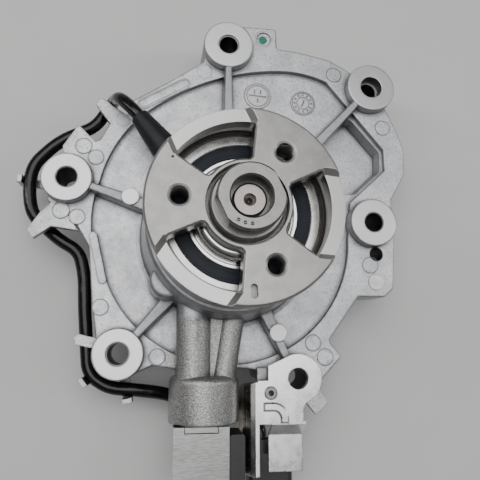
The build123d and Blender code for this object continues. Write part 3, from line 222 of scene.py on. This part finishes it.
def cast_aluminium():
    f = Finish("cast_aluminium")
    rounded = f.rounded(0.9)
    edge = f.edges(rounded)
    open_share = f.hollow(9.0)
    corner = f.step(f.hollow(3.2), 0.86, 0.50)
    grain = f.noise(0.55, 4.0, 0.65)
    speckle = f.noise(1.3, 5.0, 0.75)
    blotch = f.noise(13.0, 3.0)
    peel = f.noise(2.6, 3.0)
    # The valve cylinder and the passages come from a rougher core.
    rough_core = f.both(
        f.inside(f.x, -29.0, 10.5, 1.5), f.step(f.y, -36.0, -39.0), f.step(f.z, 14.6, 16.0),
        f.math("SUBTRACT", 1.0, f.both(f.step(f.z, 21.8, 22.0), f.step(f.z, 22.3, 22.1))),
    )
    # Walls are painted darker, as shade, and stay smoother than the open faces.
    wall = f.both(f.step(f.up, 0.93, 0.70), f.math("SUBTRACT", 1.0, rough_core))
    # Faces cut after casting: bolt seats, the engine face, the nose's end.
    flat_up = f.step(f.up, 0.97, 0.995)
    flat_down = f.step(f.up, -0.97, -0.995)
    seats = f.both(flat_up, f.inside(f.z, 21.9, 22.1, 0.05))
    nose = f.both(flat_up, f.step(f.z, 64.5, 64.9))
    joint_face = f.both(flat_down, f.inside(f.z, -0.05, 0.05, 0.02))
    nearest = f.radius_from(*BOLT_BOSSES[0])
    for boss in BOLT_BOSSES[1:]:
        nearest = f.math("MINIMUM", nearest, f.radius_from(*boss))
    # The walls of the bolt holes and the bearing well; both are painted near black below, as shade.
    hole = f.both(f.step(nearest, 4.9, 4.7), f.step(f.up, 0.9, 0.6))
    bearing_well = f.both(f.step(f.radius_from(), 32.6, 32.3), f.step(f.z, 55.0, 56.0))
    cut = f.either(seats, nose, joint_face)
    seat_marks = f.rings(nearest, 0.16)
    tone = f.blend(f.step(blotch, 0.3, 0.7), (0.52, 0.525, 0.54), (0.68, 0.685, 0.70))
    tone = f.blend(f.math("MULTIPLY", f.step(speckle, 0.52, 0.34), 0.75), tone, (0.27, 0.275, 0.285))
    tone = f.blend(f.math("MULTIPLY", f.step(grain, 0.60, 0.74), 0.7), tone, (0.86, 0.865, 0.875))
    core_tone = f.blend(f.step(grain, 0.35, 0.70), (0.17, 0.167, 0.162), (0.50, 0.495, 0.485))
    tone = f.blend(rough_core, tone, core_tone)
    # Painted shade: faces that do not face up are darkened.
    tone = f.blend(f.math("MULTIPLY", wall, 0.70), tone, (0.19, 0.192, 0.198))
    # Painted shade: the crests of the ribs are darkened.
    rib_crest = f.both(
        f.step(f.up, 0.5, 0.7), f.inside(f.z, 20.3, 21.6, 0.15), f.step(f.radius_from(), 37.5, 39.0),
    )
    tone = f.blend(f.math("MULTIPLY", rib_crest, 0.6), tone, (0.25, 0.252, 0.258))
    tone = f.blend(cut, tone, f.blend(seat_marks, (0.50, 0.50, 0.505), (0.74, 0.74, 0.75)))
    # Painted shade: darker in corners and in narrow, hollow places.
    tone = f.blend(f.math("MULTIPLY", corner, 0.75), tone, (0.085, 0.085, 0.088))
    tone = f.blend(f.step(open_share, 0.55, 0.15), tone, (0.09, 0.087, 0.085))
    # Painted highlight: edges, convex and concave, are lightened.
    tone = f.blend(f.math("MULTIPLY", edge, 0.30), tone, (0.86, 0.86, 0.86))
    # Painted shade: the bolt holes and the bearing well are painted near black.
    tone = f.blend(f.either(hole, bearing_well), tone, (0.045, 0.040, 0.036))
    # A dab of inspection paint on the upper ear.
    ragged = f.math("MULTIPLY", f.noise(1.6, 2.0), 1.6)
    paint = f.step(f.math("ADD", f.radius_from(17.6, 102.9), ragged), 3.1, 2.9)
    paint = f.both(paint, f.step(f.up, 0.8, 0.9))
    f.put("Base Color", f.blend(paint, tone, f.blend(grain, (0.0, 0.13, 0.07), (0.02, 0.24, 0.15))))
    f.put("Metallic", f.math("MULTIPLY", f.between(wall, 0.80, 0.95), f.math("SUBTRACT", 1.0, paint)))
    rough = f.between(f.step(peel, 0.3, 0.7), 0.42, 0.54)
    rough = f.between(f.either(rough_core, wall), rough, 0.36)
    f.put("Roughness", f.between(cut, rough, f.between(seat_marks, 0.32, 0.44)))
    relief = f.between(rough_core, f.math("MULTIPLY", grain, 0.7), f.noise(0.9, 4.0, 0.7))
    relief = f.between(cut, relief, f.math("MULTIPLY", seat_marks, 0.25))
    normal = f.bump(peel, 0.05, rounded)
    f.put("Normal", f.bump(relief, 0.16, normal))
    return f.material


def machined_steel():
    """The pulley carrier: turned faces, milled walls, a brown unworked edge."""
    f = Finish("machined_steel", metallic=1.0)
    rounded = f.rounded(0.35)
    edge = f.edges(rounded)
    marks = f.rings(f.radius_from(), 0.22, 3.0)
    stain = f.noise(7.0, 4.0, 0.6)
    fine = f.noise(0.35, 3.0)
    level = f.step(f.up, 0.9, 0.99)
    lobe = f.both(level, f.step(f.z, 77.6, 77.9))
    rim_seat = f.both(level, f.step(f.z, 77.0, 76.6))
    slope = f.both(f.step(f.up, 0.97, 0.9), f.step(f.up, 0.4, 0.55), f.step(f.z, 75.3, 75.45))
    brown = f.both(f.step(f.radius_from(), 36.2, 36.45), f.step(f.up, 0.6, 0.3))
    lobe_tone = f.blend(f.step(stain, 0.35, 0.7), (0.20, 0.196, 0.188), (0.29, 0.285, 0.276))
    tone = f.blend(lobe, (0.17, 0.166, 0.158), lobe_tone)
    tone = f.blend(rim_seat, tone, (0.58, 0.575, 0.565))
    tone = f.blend(f.math("MULTIPLY", f.step(marks, 0.62, 0.35), 0.3), tone, (0.25, 0.245, 0.24))
    bright_nicks = f.step(f.noise(1.1, 5.0, 0.8), 0.66, 0.78)
    tone = f.blend(f.math("MULTIPLY", bright_nicks, 0.4), tone, (0.72, 0.71, 0.69))
    tone = f.blend(slope, tone, (0.36, 0.355, 0.345))
    punch_mark = f.step(f.radius_from(-26.6, 15.8), 0.62, 0.42)
    tone = f.blend(f.both(lobe, punch_mark), tone, (0.02, 0.02, 0.02))
    tone = f.blend(f.both(brown, f.step(stain, 0.7, 0.3)), tone, (0.17, 0.14, 0.12))
    # Painted shade: darker in corners and hollows.
    tone = f.blend(f.step(f.hollow(4.0), 0.55, 0.15), tone, (0.05, 0.046, 0.043))
    # Painted highlight: edges lightened.
    f.put("Base Color", f.blend(f.math("MULTIPLY", edge, 0.8), tone, (0.95, 0.945, 0.93)))
    rough = f.between(f.step(stain, 0.3, 0.7), 0.27, 0.37)
    f.put("Roughness", f.between(f.either(rim_seat, slope), rough, 0.46))
    relief = f.math("ADD", f.math("MULTIPLY", marks, 0.7), f.math("MULTIPLY", fine, 0.3))
    f.put("Normal", f.bump(relief, 0.012, rounded))
    f.swirl(0.45)
    return f.material


def turned_steel(name, dark, light, roughness, depth=0.01, swirl=0.5, edge_share=0.8, marks_size=0.18,
                 hollow_shade=0.5):
    """Turned steel with its own brightness: collars, shafts, races, rings."""
    f = Finish(name, metallic=1.0)
    rounded = f.rounded(0.22)
    marks = f.rings(f.math("ADD", f.radius_from(), f.z), marks_size, 3.0)
    stain = f.noise(4.0, 4.0, 0.6)
    tone = f.blend(f.step(stain, 0.3, 0.7), dark, light)
    tone = f.blend(f.math("MULTIPLY", f.step(marks, 0.6, 0.35), 0.3), tone, tuple(0.6 * c for c in dark))
    # Painted shade: darker in corners and hollows.
    tone = f.blend(f.math("MULTIPLY", f.step(f.hollow(3.0), 0.5, 0.1), hollow_shade), tone, (0.05, 0.048, 0.045))
    # Painted highlight: edges lightened.
    f.put("Base Color", f.blend(f.math("MULTIPLY", f.edges(rounded), edge_share), tone, (0.93, 0.93, 0.92)))
    f.put("Roughness", f.between(f.step(stain, 0.3, 0.7), roughness * 0.85, roughness * 1.2))
    f.put("Normal", f.bump(marks, depth, rounded))
    f.swirl(swirl)
    return f.material


def zinc_plate():
    f = Finish("zinc_plate", metallic=1.0)
    rounded = f.rounded(0.5)
    cloud = f.noise(5.0, 4.0, 0.6)
    fine = f.noise(0.5, 3.0)
    tone = f.blend(f.step(cloud, 0.3, 0.7), (0.70, 0.70, 0.69), (0.86, 0.86, 0.86))
    tone = f.blend(f.math("MULTIPLY", f.step(fine, 0.35, 0.25), 0.4), tone, (0.45, 0.44, 0.42))
    # Painted reflection: the bent flange's side takes brown and cream streaks, as if reflecting brown
    # surroundings.
    side = f.both(f.step(f.x, 12.9, 12.3), f.step(f.up, 0.75, 0.5))
    reflected_streak = f.noise(1.6, 3.0, where=f.node("ShaderNodeCombineXYZ", f.z, 0.0, 0.0))
    tone = f.blend(side, tone, f.blend(f.step(reflected_streak, 0.35, 0.65), (0.36, 0.29, 0.22), (0.80, 0.76, 0.68)))
    # Painted shade: darker in hollows.
    tone = f.blend(f.step(f.hollow(4.0), 0.4, 0.1), tone, (0.16, 0.15, 0.14))
    # Painted highlight: edges lightened.
    f.put("Base Color", f.blend(f.math("MULTIPLY", f.edges(rounded), 0.7), tone, (0.97, 0.97, 0.96)))
    f.put("Roughness", f.between(f.step(cloud, 0.3, 0.7), 0.24, 0.36))
    f.put("Normal", f.bump(fine, 0.012, rounded))
    return f.material


def pressed_steel():
    """The solenoid's yoke: cold-rolled strip, matt, its edges lightened as a painted highlight."""
    f = Finish("pressed_steel", metallic=1.0)
    rounded = f.rounded(0.3)
    stretched = f.node("ShaderNodeVectorMath", f.place, (0.12, 1.0, 1.0), operation="MULTIPLY")
    grain = f.noise(0.4, 4.0, 0.6, where=stretched)
    stain = f.noise(6.0, 4.0)
    tone = f.blend(f.step(grain, 0.3, 0.7), (0.26, 0.26, 0.256), (0.40, 0.40, 0.39))
    tone = f.blend(f.math("MULTIPLY", f.step(stain, 0.55, 0.8), 0.5), tone, (0.26, 0.25, 0.24))
    # Painted highlight: edges lightened.
    f.put("Base Color", f.blend(f.math("MULTIPLY", f.edges(rounded), 0.8), tone, (0.90, 0.90, 0.88)))
    f.put("Roughness", f.between(stain, 0.36, 0.50))
    f.put("Normal", f.bump(grain, 0.02, rounded))
    return f.material


def rubber(name, colour, wear_and_highlight, roughness, scratch=0.4, ring_marks=True, level=0.5):
    f = Finish(name, roughness=roughness, Specular_IOR_Level=level)
    fine = f.noise(0.4, 4.0, 0.7)
    cloud = f.noise(5.0, 3.0)
    rings = f.rings(f.radius_from(), 0.3, 3.0) if ring_marks else fine
    tone = f.blend(f.step(cloud, 0.3, 0.7), colour, tuple(1.5 * c for c in colour))
    tone = f.blend(f.math("MULTIPLY", f.step(rings, 0.60, 0.72), scratch), tone, wear_and_highlight)
    tone = f.blend(f.math("MULTIPLY", f.step(fine, 0.66, 0.74), 0.5), tone, wear_and_highlight)
    f.put("Base Color", tone)
    f.put("Roughness", f.between(fine, roughness * 0.8, roughness * 1.15))
    f.put("Normal", f.bump(f.math("ADD", f.math("MULTIPLY", rings, 0.6), fine), 0.02, f.rounded(0.2)))
    return f.material


def lead_sleeve():
    """Glossy moulded sleeve: slow ripples, dust and handling marks."""
    f = Finish("lead_sleeve", roughness=0.2, Specular_IOR_Level=0.3, Coat_Weight=0.12, Coat_Roughness=0.08)
    ripple = f.noise(9.0, 2.0)
    dust = f.noise(0.5, 4.0, 0.7)
    scuff = f.noise(3.0, 4.0, 0.75)
    tone = f.blend(f.step(scuff, 0.5, 0.75), (0.004, 0.004, 0.0045), (0.010, 0.010, 0.011))
    f.put("Base Color", f.blend(f.math("MULTIPLY", f.step(dust, 0.68, 0.76), 0.35), tone, (0.20, 0.20, 0.19)))
    f.put("Roughness", f.between(f.step(scuff, 0.4, 0.75), 0.14, 0.36))
    f.put("Normal", f.bump(f.math("ADD", ripple, f.math("MULTIPLY", dust, 0.05)), 0.35))
    return f.material


def moulded(name, colour, roughness, grain_size=0.5, depth=0.02, **fixed):
    """Moulded plastic with spark-eroded grain, paler along its edges: partly rubbing, partly a painted
    highlight.
    """
    f = Finish(name, roughness=roughness, **fixed)
    rounded = f.rounded(0.4)
    grain = f.noise(grain_size, 4.0, 0.7)
    cloud = f.noise(6.0, 3.0)
    tone = f.blend(f.step(cloud, 0.3, 0.7), tuple(0.8 * c for c in colour), tuple(1.2 * c for c in colour))
    wear_and_highlight = tuple(min(1.0, 1.6 * c + 0.03) for c in colour)
    # Painted highlight: edges lightened.
    f.put("Base Color", f.blend(f.math("MULTIPLY", f.edges(rounded), 0.5), tone, wear_and_highlight))
    f.put("Roughness", f.between(grain, roughness * 0.85, roughness * 1.15))
    f.put("Normal", f.bump(grain, depth, rounded))
    return f.material


CAST = cast_aluminium()
# Dark ridge finish: its dark tone is painted shade, so rims and dial lines read as dark outlines.
SHADED_FLASH = turned_steel("casting_flash_painted_shade", (0.16, 0.16, 0.165), (0.28, 0.28, 0.285), 0.45, swirl=0.0,
                     edge_share=0.25)
CARRIER = machined_steel()
COLLAR = turned_steel("collar_steel", (0.18, 0.177, 0.17), (0.27, 0.266, 0.256), 0.32, hollow_shade=0.8)
SHAFT = turned_steel("shaft_steel", (0.27, 0.24, 0.228), (0.38, 0.34, 0.325), 0.36, marks_size=0.35, hollow_shade=0.9)
RACE = turned_steel("race_steel", (0.60, 0.60, 0.60), (0.74, 0.74, 0.74), 0.16, depth=0.004)
OUTER_RACE = turned_steel("outer_race_steel", (0.46, 0.45, 0.44), (0.62, 0.61, 0.60), 0.24, depth=0.008)
MIRROR = turned_steel("polished_steel", (0.66, 0.65, 0.64), (0.74, 0.73, 0.72), 0.13, depth=0.0006, swirl=0.1,
                      edge_share=0.2, marks_size=2.5, hollow_shade=0.8)
# Dark tone: painted shade on the retaining ring deep in the bearing well; the shroud spring shares it.
RING = turned_steel("ring_steel", (0.10, 0.095, 0.09), (0.17, 0.16, 0.15), 0.36)
IMPELLER = turned_steel("impeller_steel", (0.40, 0.39, 0.38), (0.54, 0.53, 0.52), 0.34, depth=0.015)
ZINC = zinc_plate()
YOKE = pressed_steel()
SEAL = rubber("bearing_seal_rubber", (0.006, 0.009, 0.015), (0.05, 0.062, 0.085), 0.46, level=0.22)
FACE_SEAL = rubber("face_seal_rubber", (0.014, 0.014, 0.015), (0.06, 0.06, 0.06), 0.5, ring_marks=False)
BOOT = rubber("boot_rubber", (0.006, 0.007, 0.009), (0.035, 0.037, 0.042), 0.45, ring_marks=False, level=0.3)
THREADS = turned_steel("thread_steel", (0.20, 0.195, 0.19), (0.34, 0.33, 0.32), 0.34, edge_share=0.5)
LIPS = rubber("seal_lip_rubber", (0.012, 0.016, 0.024), (0.07, 0.08, 0.10), 0.40, level=0.3)
SLEEVE = lead_sleeve()
BLACK = moulded("black_plastic", (0.018, 0.018, 0.019), 0.42)
WHITE = moulded("white_plug", (0.92, 0.92, 0.91), 0.30)
AMBER = moulded("cage_nylon", (0.28, 0.17, 0.06), 0.45)
CARBON = turned_steel("carbon_face", (0.06, 0.06, 0.065), (0.10, 0.10, 0.105), 0.35)
BRASS = turned_steel("brass", (0.62, 0.46, 0.20), (0.75, 0.58, 0.28), 0.26)

FINISHES = {
    "housing": CAST,
    "face_seal": FACE_SEAL,
    "dowels": COLLAR,
    "gallery_plug": WHITE,
    "main_bearing_outer": OUTER_RACE,
    "main_bearing_inner": RACE,
    "main_bearing_balls": MIRROR,
    "main_bearing_cage": AMBER,
    "main_bearing_front_seal": SEAL,
    "main_bearing_rear_seal": SEAL,
    "retaining_ring": RING,
    "rear_bearing_outer": OUTER_RACE,
    "rear_bearing_inner": RACE,
    "rear_bearing_balls": MIRROR,
    "seal_cup": IMPELLER,
    "seal_bellows": FACE_SEAL,
    "seal_carbon": CARBON,
    "seal_seat": COLLAR,
    "shaft": SHAFT,
    "hub_sleeve": MIRROR,
    "pulley_carrier": CARRIER,
    "drive_collar": COLLAR,
    "impeller": IMPELLER,
    "control_shroud": IMPELLER,
    "piston_seal": FACE_SEAL,
    "spring_seat": YOKE,
    "return_spring": RING,
    "valve_insert": BRASS,
    "valve_o_ring": FACE_SEAL,
    "valve_plunger": RACE,
    "solenoid_core": YOKE,
    "solenoid_coil": BLACK,
    "solenoid_yoke": YOKE,
    "solenoid_end_plate": YOKE,
    "position_sensor": BLACK,
    "lead_boot": BOOT,
    "sensor_lead": SLEEVE,
    "bracket": ZINC,
    "bracket_rivet": COLLAR,
    "lead_connector": BLACK,
    "connector_terminals": BRASS,
}
for name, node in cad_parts.items():
    node.data.materials.clear()
    node.data.materials.append(FINISHES[name])


# --- Pieces too fine for the machined model ----------------------------------------------------------
SHARP_TURN = 35  # degrees between faces, above which an edge stays sharp


def piece(name, mesh, finish, body):
    """Turns a bmesh in millimetres into a piece that moves with a body."""
    bmesh.ops.recalc_face_normals(mesh, faces=mesh.faces)
    for face in mesh.faces:
        face.smooth = True
    for edge in mesh.edges:
        if len(edge.link_faces) == 2 and edge.calc_face_angle() > math.radians(SHARP_TURN):
            edge.smooth = False
    bmesh.ops.scale(mesh, vec=(MM, MM, MM), verts=mesh.verts)
    data = bpy.data.meshes.new(name)
    mesh.to_mesh(data)
    mesh.free()
    data.materials.append(finish)
    made = bpy.data.objects.new(name, data)
    bpy.context.scene.collection.objects.link(made)
    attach(made, body)
    return made


def sweep_section(mesh, places, closed):
    """Skins a row of equal sections, each a list of points; open ends are capped."""
    rows = [[mesh.verts.new(point) for point in section] for section in places]
    count = len(rows[0])
    pairs = list(zip(rows, rows[1:])) + ([(rows[-1], rows[0])] if closed else [])
    for here, there in pairs:
        for k in range(count):
            mesh.faces.new((here[k], here[(k + 1) % count], there[(k + 1) % count], there[k]))
    if not closed:
        mesh.faces.new(rows[0])
        mesh.faces.new(list(reversed(rows[-1])))


def ring_piece(mesh, x, y, profile, segments=48):
    """A closed ring: profile is (radius, height) corners."""
    places = []
    for k in range(segments):
        a = 2 * math.pi * k / segments
        places.append([(x + r * math.cos(a), y + r * math.sin(a), z) for r, z in profile])
    sweep_section(mesh, places, closed=True)


def low_ridge(inner, outer, foot, top):
    """The profile of a low ridge with leaning sides."""
    lean = min(0.12, (outer - inner) / 4)
    return [(inner, foot), (outer, foot), (outer - lean, top), (inner + lean, top)]


def bar(mesh, x, y, length, width, angle, foot, top):
    """A low bar with rounded ends, turned by angle degrees."""
    turn = math.radians(angle)
    outline = []
    for k in range(16):
        a = math.pi * (k / 7 if k < 8 else 1 + (k - 8) / 7) - math.pi / 2
        side = 1 if k < 8 else -1
        px = side * (length - width) / 2 + width / 2 * math.cos(a)
        py = width / 2 * math.sin(a)
        outline.append((px, py))
    rows = []
    for shrink, z in ((1.0, foot), (1.0, top - 0.06), (0.86, top)):
        row = []
        for px, py in outline:
            px, py = px * (1 - (1 - shrink) * width / length), py * shrink
            dx = px * math.cos(turn) - py * math.sin(turn)
            dy = px * math.sin(turn) + py * math.cos(turn)
            row.append((x + dx, y + dy, z))
        rows.append(row)
    sweep_section(mesh, rows, closed=False)


# Threads in the three tapped holes of the pulley carrier.
PULLEY_HOLES = [(24.0, 175.0), (24.0, 55.0), (24.0, -65.0)]
THREAD_PITCH, THREAD_LOW, THREAD_HIGH = 1.25, 67.6, 76.6
THREAD_ROOT_R, THREAD_CREST_R, THREAD_STEPS = 3.46, 3.02, 32
for number, (reach, angle) in enumerate(PULLEY_HOLES):
    centre = (reach * math.cos(math.radians(angle)), reach * math.sin(math.radians(angle)))
    coil = bmesh.new()
    steps = int((THREAD_HIGH - THREAD_LOW) / THREAD_PITCH * THREAD_STEPS)
    sections = []
    for k in range(steps + 1):
        a, z = 2 * math.pi * k / THREAD_STEPS, THREAD_LOW + THREAD_PITCH * k / THREAD_STEPS
        corners = [
            (THREAD_ROOT_R, z - 0.5), (THREAD_CREST_R, z - 0.07),
            (THREAD_CREST_R, z + 0.07), (THREAD_ROOT_R, z + 0.5),
        ]
        sections.append([(centre[0] + r * math.cos(a), centre[1] + r * math.sin(a), h) for r, h in corners])
    sweep_section(coil, sections, closed=False)
    piece(f"pulley_thread_{number + 1}", coil, THREADS, "rotor")

# Return spring of the shroud. It stands for the stiff one in the machined model.
SPRING_TURNS, SPRING_STEPS, WIRE_STEPS, SHROUD_TRAVEL = 3.5, 64, 10, 11.0
WIRE_R = 0.75
spring_low, spring_high = (corner[2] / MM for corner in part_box("return_spring"))
spring_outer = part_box("return_spring")[1][0] / MM
spring = bmesh.new()
sections = []
for k in range(int(SPRING_TURNS * SPRING_STEPS) + 1):
    a = 2 * math.pi * k / SPRING_STEPS
    height = spring_low + WIRE_R + (spring_high - spring_low - 2 * WIRE_R) * k / (SPRING_TURNS * SPRING_STEPS)
    section = []
    for j in range(WIRE_STEPS):
        b = 2 * math.pi * j / WIRE_STEPS
        r = spring_outer - WIRE_R + WIRE_R * math.cos(b)
        section.append((r * math.cos(a), r * math.sin(a), height + WIRE_R * math.sin(b)))
    sections.append(section)
sweep_section(spring, sections, closed=False)
coil_spring = piece("shroud_spring", spring, RING, "casting")
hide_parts("return_spring")
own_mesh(coil_spring)

# Rims left round the ejector pads of the die: x, y, radius, height of the surface.
RIM_TOP, WEB_TOP = 17.0, 14.0
PAD_RIMS = [
    (54.2, 86.0, 3.7, RIM_TOP), (79.0, 58.5, 3.7, RIM_TOP), (69.0, -12.2, 3.7, RIM_TOP),
    (39.6, -48.8, 3.5, RIM_TOP), (45.2, -55.2, 3.6, RIM_TOP), (-67.5, 41.0, 3.6, RIM_TOP),
    (-61.7, 35.8, 3.4, RIM_TOP), (-75.8, 9.9, 3.6, RIM_TOP), (-68.6, 7.2, 3.4, RIM_TOP),
    (-56.4, -33.3, 3.4, RIM_TOP), (-31.0, -54.8, 3.4, RIM_TOP), (15.0, 73.0, 6.6, WEB_TOP),
    (38.4, 70.6, 6.2, WEB_TOP),
]
rims = bmesh.new()
for x, y, r, z in PAD_RIMS:
    ring_piece(rims, x, y, low_ridge(r - 0.10, r + 0.34, z - 0.4, z + 0.34))
# The rims take the dark finish: painted shade outlining the pads.
piece("ejector_rims", rims, SHADED_FLASH, "casting")

# Casting date dials, without numbers: a ring with bars in it, and two rings with twelve dots and a pointer.
dials = bmesh.new()
DIAL_TOP, DIAL_RELIEF, LINE_WIDTH = 14.4, 0.3, 0.55
BAR_DIAL, DOT_DIAL = (15.0, 73.0), (38.4, 70.6)
low, high = DIAL_TOP - DIAL_RELIEF, DIAL_TOP + DIAL_RELIEF
ring_piece(dials, *BAR_DIAL, low_ridge(5.3, 5.7, low, high))
bar(dials, *BAR_DIAL, 9.2, LINE_WIDTH, -4, low, high)
for dx, dy in ((-1.5, 2.3), (1.5, 2.3), (0.0, -2.4)):
    bar(dials, BAR_DIAL[0] + dx, BAR_DIAL[1] + dy, 2.4, LINE_WIDTH, 86, low, high)
ring_piece(dials, *DOT_DIAL, low_ridge(5.4, 5.8, low, high))
ring_piece(dials, *DOT_DIAL, low_ridge(3.0, 3.4, low, high))
DOT_CIRCLE_R = 4.4
for k in range(12):
    a = math.radians(30 * k)
    dot_x = DOT_DIAL[0] + DOT_CIRCLE_R * math.cos(a)
    dot_y = DOT_DIAL[1] + DOT_CIRCLE_R * math.sin(a)
    ring_piece(dials, dot_x, dot_y, low_ridge(0.12, 0.55, low, DIAL_TOP + 0.25), 12)
bar(dials, *DOT_DIAL, 4.0, 0.6, 70, low, high)
# The dials take the dark finish too: painted shade lines.
piece("date_dials", dials, SHADED_FLASH, "casting")

# Raised panel along the upper left rim, left blank.
PANEL_AT, PANEL_ANGLE = (-31.3, 69.65), 31.4
panel = bmesh.new()
bar(panel, *PANEL_AT, 28.4, 5.4, PANEL_ANGLE, 16.2, 17.45)
bar(panel, *PANEL_AT, 26.6, 3.6, PANEL_ANGLE, 17.3, 17.75)
piece("name_panel", panel, CAST, "casting")

# Lips moulded on the front seal of the main bearing.
LIP_RADII, LIP_WIDTH, LIP_FOOT, LIP_TOP = (22.6, 23.3, 25.6, 26.4), 0.26, 62.3, 62.66
lips = bmesh.new()
for r in LIP_RADII:
    ring_piece(lips, 0, 0, low_ridge(r, r + LIP_WIDTH, LIP_FOOT, LIP_TOP), segments=128)
piece("seal_lips", lips, LIPS, "casting")

# --- Studio ------------------------------------------------------------------------------------------
FLOOR_Z = -13.2 * MM


def area_light(name, at, target, size, power, tint=(1, 1, 1)):
    light = bpy.data.objects.new(name, bpy.data.lights.new(name, "AREA"))
    light.data.shape = "RECTANGLE"
    light.data.size, light.data.size_y = size
    light.data.energy = power
    light.data.color = tint
    light.location = at
    light.rotation_euler = (Vector(target) - Vector(at)).to_track_quat("-Z", "Y").to_euler()
    bpy.context.scene.collection.objects.link(light)


area_light("overhead", (-0.12, 0.16, 0.95), (0, 0, 0), (0.95, 0.95), 7.4)
area_light("right_strip", (0.80, 0.10, 0.62), (0, 0, 0.02), (0.16, 0.7), 2.0)
area_light("left_strip", (-0.80, 0.20, 0.62), (0, 0, 0.02), (0.14, 0.6), 1.6)

world = bpy.data.worlds.new("studio")
bpy.context.scene.world = world
world.use_nodes = True
sky = world.node_tree
sky.nodes.clear()
direction = sky.nodes.new("ShaderNodeTexCoord")
height = sky.nodes.new("ShaderNodeSeparateXYZ")
sky.links.new(direction.outputs["Generated"], height.inputs[0])
# The world's brightness by height: grey at the horizon, a dark band, then bright overhead.
shade = sky.nodes.new("ShaderNodeValToRGB")
shade.color_ramp.elements[0].position = 0.0
shade.color_ramp.elements[0].color = (0.30, 0.30, 0.305, 1)
shade.color_ramp.elements[1].position = 1.0
shade.color_ramp.elements[1].color = (0.62, 0.63, 0.645, 1)
middle = shade.color_ramp.elements.new(0.70)
middle.color = (0.11, 0.11, 0.113, 1)
brighter = shade.color_ramp.elements.new(0.90)
brighter.color = (0.30, 0.304, 0.312, 1)
sky.links.new(height.outputs[2], shade.inputs[0])
backing = sky.nodes.new("ShaderNodeBackground")
backing.inputs[1].default_value = 1.0
sky.links.new(shade.outputs[0], backing.inputs[0])
sky.links.new(backing.outputs[0], sky.nodes.new("ShaderNodeOutputWorld").inputs[0])

floor_mesh = bpy.data.meshes.new("studio_floor")
sheet = bmesh.new()
bmesh.ops.create_grid(sheet, x_segments=1, y_segments=1, size=3.0)
sheet.to_mesh(floor_mesh)
sheet.free()
floor = bpy.data.objects.new("studio_floor", floor_mesh)
floor.location = (0, 0, FLOOR_Z)
bpy.context.scene.collection.objects.link(floor)
paper = Finish("studio_paper", roughness=0.85)
paper.put("Base Color", paper.blend(paper.noise(60.0, 3.0), (0.56, 0.56, 0.55), (0.61, 0.61, 0.60)))
floor.data.materials.append(paper.material)
